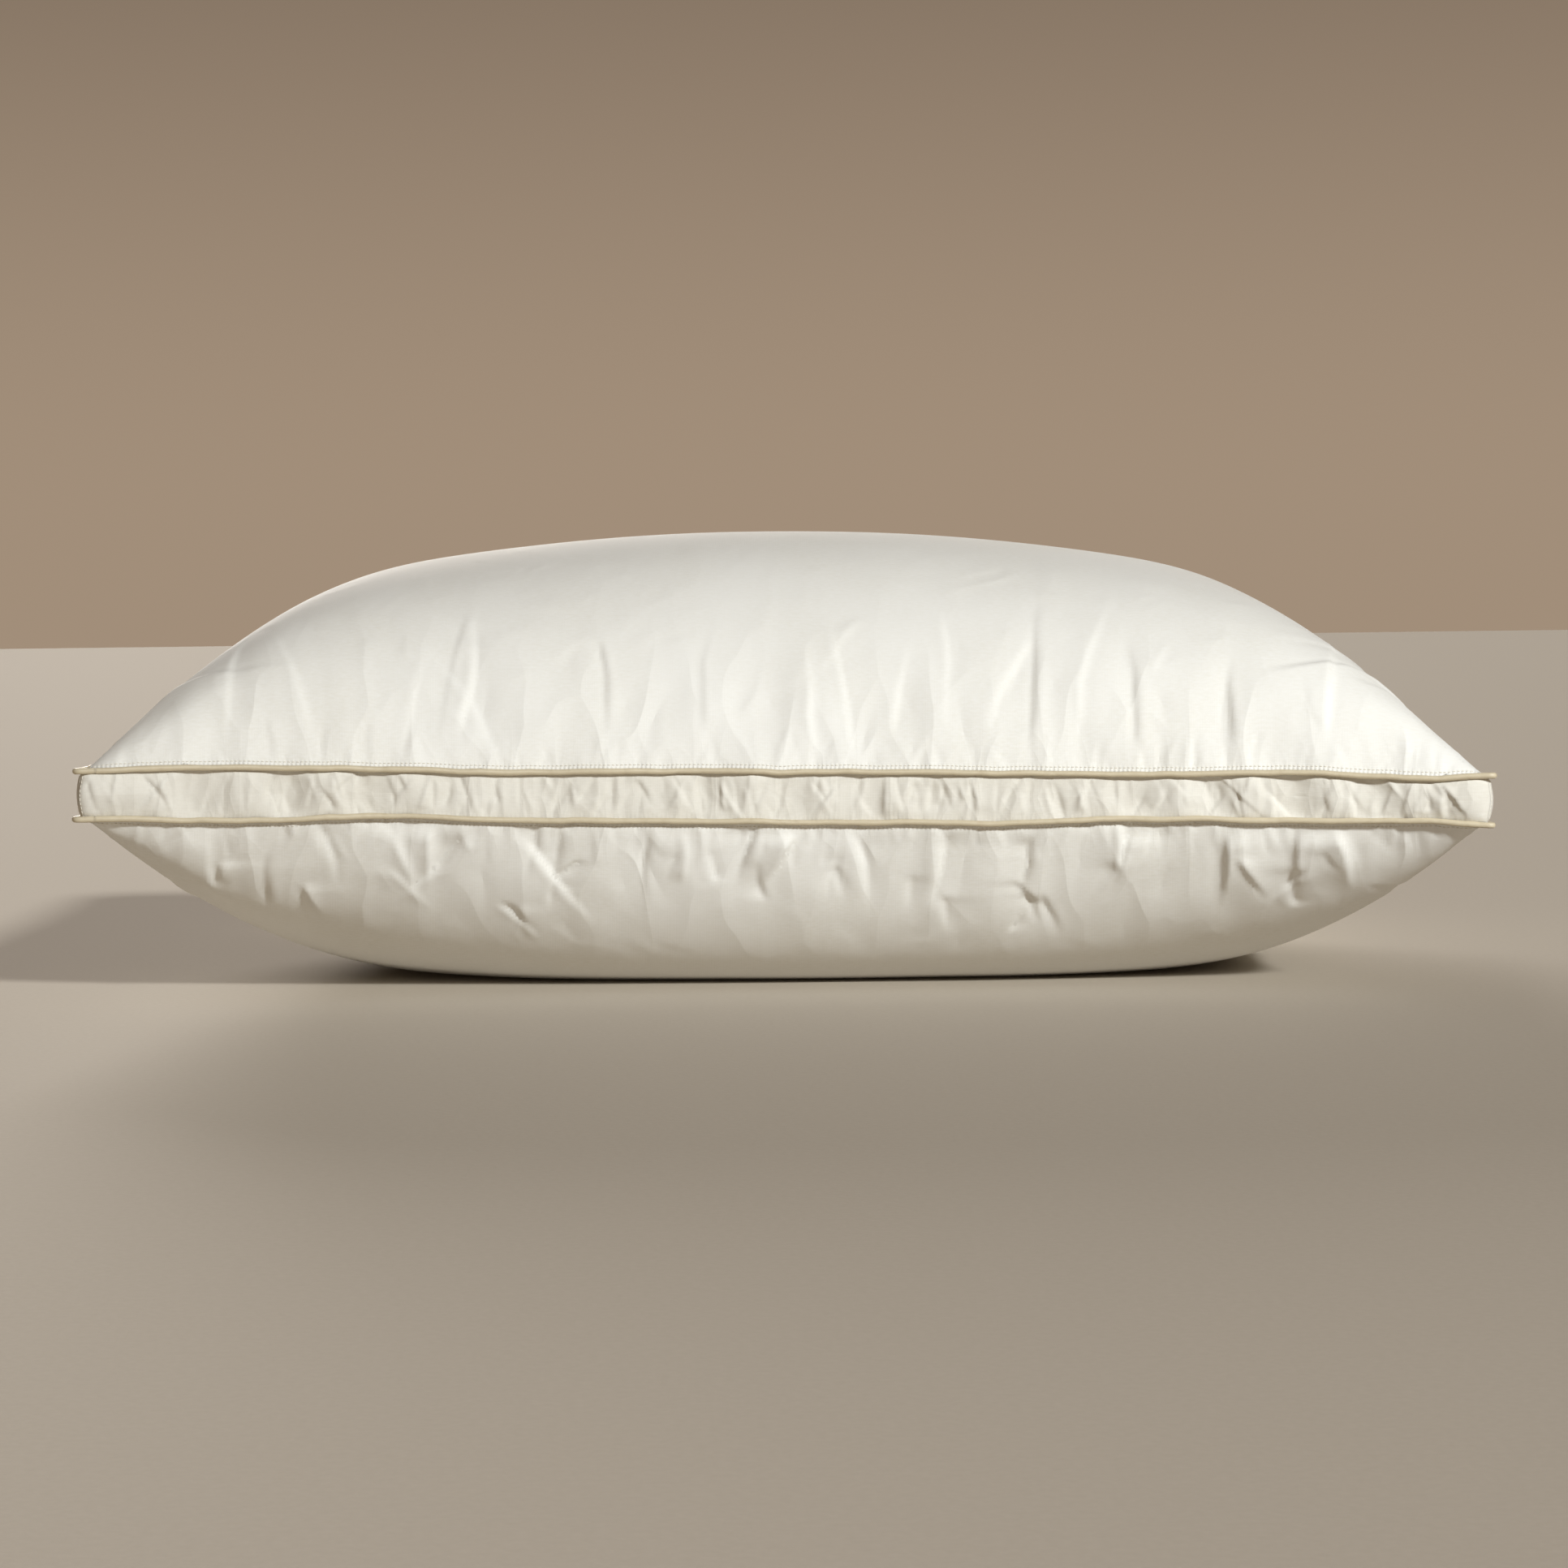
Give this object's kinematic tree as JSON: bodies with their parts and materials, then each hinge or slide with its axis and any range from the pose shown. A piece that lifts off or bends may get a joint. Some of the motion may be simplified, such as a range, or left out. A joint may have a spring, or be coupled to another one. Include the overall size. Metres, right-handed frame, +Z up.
{
  "type": "bed pillow",
  "caption": "Plump rectangular bed pillow with a gusset between two corded seams and a down and feather filling.",
  "frame": {"origin": "on the resting surface, under the middle of the pillow's outline", "axes": "+X along the pillow's length, -Y towards its front long edge, +Z up"},
  "size_m": [0.7266, 0.4824, 0.246],
  "materials": {
    "panel_cotton": "fine off-white down-proof cotton",
    "gusset_cotton": "fine cream down-proof cotton",
    "piping_satin": "champagne satin with a soft sheen",
    "piping_cord": "loose unbleached cotton cord",
    "thread": "off-white polyester sewing thread",
    "label_satin": "blank white ribbon satin",
    "down": "loose white down and small feathers"
  },
  "bodies": {
    "root": {"top_panel": "panel_cotton", "bottom_panel": "panel_cotton", "gusset_front": "gusset_cotton", "gusset_right": "gusset_cotton", "gusset_back": "gusset_cotton", "gusset_left": "gusset_cotton", "upper_piping_cover": "piping_satin", "lower_piping_cover": "piping_satin", "upper_piping_cord": "piping_cord", "lower_piping_cord": "piping_cord", "upper_seam_thread": "thread", "lower_seam_thread": "thread", "corner_thread_front_right": "thread", "corner_thread_back_right": "thread", "corner_thread_back_left": "thread", "corner_thread_front_left": "thread", "closing_thread": "thread", "care_label": "label_satin", "filling": "down"}
  },
  "joints": []
}
